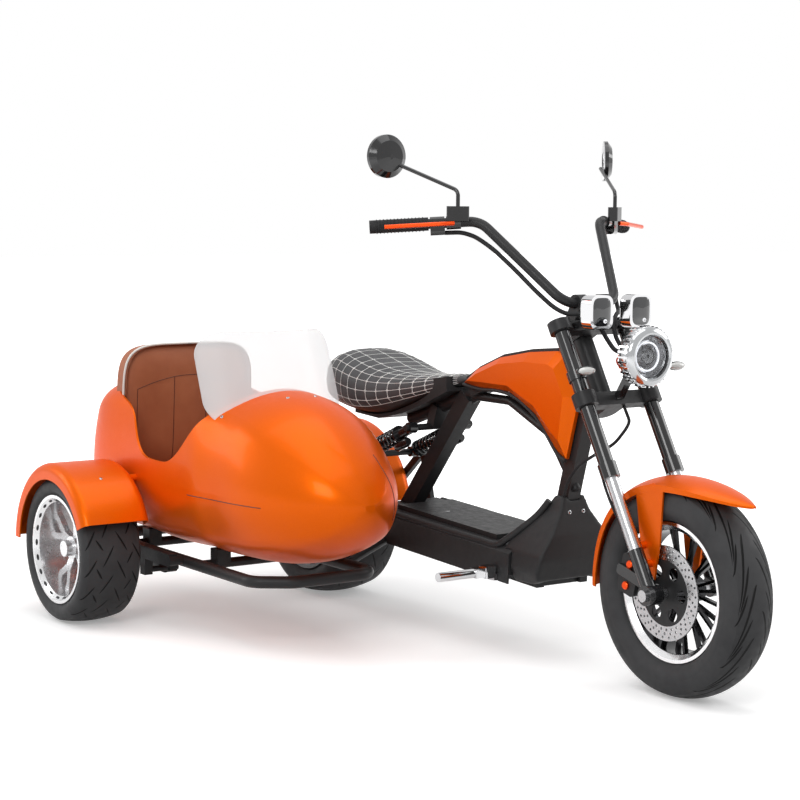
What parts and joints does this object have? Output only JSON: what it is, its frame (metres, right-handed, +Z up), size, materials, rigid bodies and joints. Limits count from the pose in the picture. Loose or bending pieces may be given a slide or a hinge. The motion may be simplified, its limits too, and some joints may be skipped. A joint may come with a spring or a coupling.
{
  "type": "electric scooter with sidecar",
  "caption": "Low electric scooter with long fork, swept handlebar and stitched saddle, joined to a rounded sidecar tub with seat, clear screen and its own wheel.",
  "frame": {"origin": "on the floor under the middle of the overall box", "axes": "+X forwards, +Y to the rider's left, +Z up; the sidecar is on the right"},
  "size_m": [2.1247, 1.3314, 1.3179],
  "materials": {
    "orange_paint": "glossy metallic",
    "black_frame": "satin powder coat",
    "gloss_black": "gloss",
    "dark_plastic": "moulded satin",
    "steel": "brushed",
    "chrome": "mirror",
    "cast_black": "painted",
    "cast_dark": "cast, chromed lip",
    "polished_alloy": "polished",
    "tyre": "matt",
    "grip_rubber": "matt",
    "orange_anodised": "anodised",
    "saddle_leather": "satin, white stitching",
    "brown_leather": "satin",
    "clear_screen": "clear acrylic",
    "lamp_glass": "clear",
    "red_lens": "clear red",
    "battery_case": "smooth"
  },
  "bodies": {
    "front_wheel": {"front_tyre": "tyre", "front_rim": "cast_dark", "front_disc": "steel"},
    "rear_wheel": {"rear_tyre": "tyre", "rear_rim": "cast_black"},
    "sidecar_wheel": {"sidecar_tyre": "tyre", "sidecar_rim": "polished_alloy"},
    "steering": {"fork_tubes": "gloss_black", "fork_stanchions": "steel", "front_axle": "steel", "lower_clamp": "black_frame", "top_clamp": "black_frame", "front_caliper": "black_frame", "fork_lower_legs": "black_frame", "handlebar": "black_frame", "grips": "grip_rubber", "switch_housings": "gloss_black", "brake_masters": "gloss_black", "brake_levers": "orange_anodised", "mirrors": "gloss_black", "headlight_lens": "lamp_glass", "headlight_shell": "chrome", "lamp_pods": "chrome", "turn_signals": "lamp_glass", "front_fender": "orange_paint", "hoses": "grip_rubber"},
    "root": {"battery": "battery_case", "front_cover": "dark_plastic", "saddle": "saddle_leather", "side_panels": "orange_paint", "spine_cover": "dark_plastic", "rear_fender": "orange_paint", "tail_light": "red_lens", "swing_arm": "black_frame", "rear_axle": "steel", "rear_shocks": "black_frame", "main_frame": "black_frame", "saddle_pan": "dark_plastic", "foot_pegs": "steel", "sidecar_tub": "orange_paint", "sidecar_chassis": "black_frame", "deck_box": "dark_plastic", "sidecar_arm": "black_frame", "sidecar_shock": "black_frame", "sidecar_seat_base": "brown_leather", "sidecar_seat_back": "brown_leather", "windscreen": "clear_screen", "sidecar_fender": "orange_paint", "steering_loom": "grip_rubber"},
    "battery_lid": {"battery_lid": "dark_plastic"}
  },
  "joints": [
    {"name": "steering", "type": "hinge", "parent": "root", "child": "steering", "pos_m": [0.46857, 0.24127, 0.74402], "axis": [-0.5, 0, 0.866], "range_deg": [-35, 35]},
    {"name": "front_wheel_spin", "type": "hinge", "parent": "steering", "child": "front_wheel", "pos_m": [0.81037, 0.24127, 0.252], "axis": [0, 1, 0], "continuous": true},
    {"name": "rear_wheel_spin", "type": "hinge", "parent": "root", "child": "rear_wheel", "pos_m": [-0.71962, 0.24127, 0.24], "axis": [0, 1, 0], "continuous": true},
    {"name": "sidecar_wheel_spin", "type": "hinge", "parent": "root", "child": "sidecar_wheel", "pos_m": [-0.71962, -0.56573, 0.202], "axis": [0, 1, 0], "continuous": true},
    {"name": "lid_hinge", "type": "hinge", "parent": "root", "child": "battery_lid", "pos_m": [-0.33029, 0.33677, 0.3214], "axis": [-0.999, 0, 0.0454], "range_deg": [0, 80]}
  ]
}
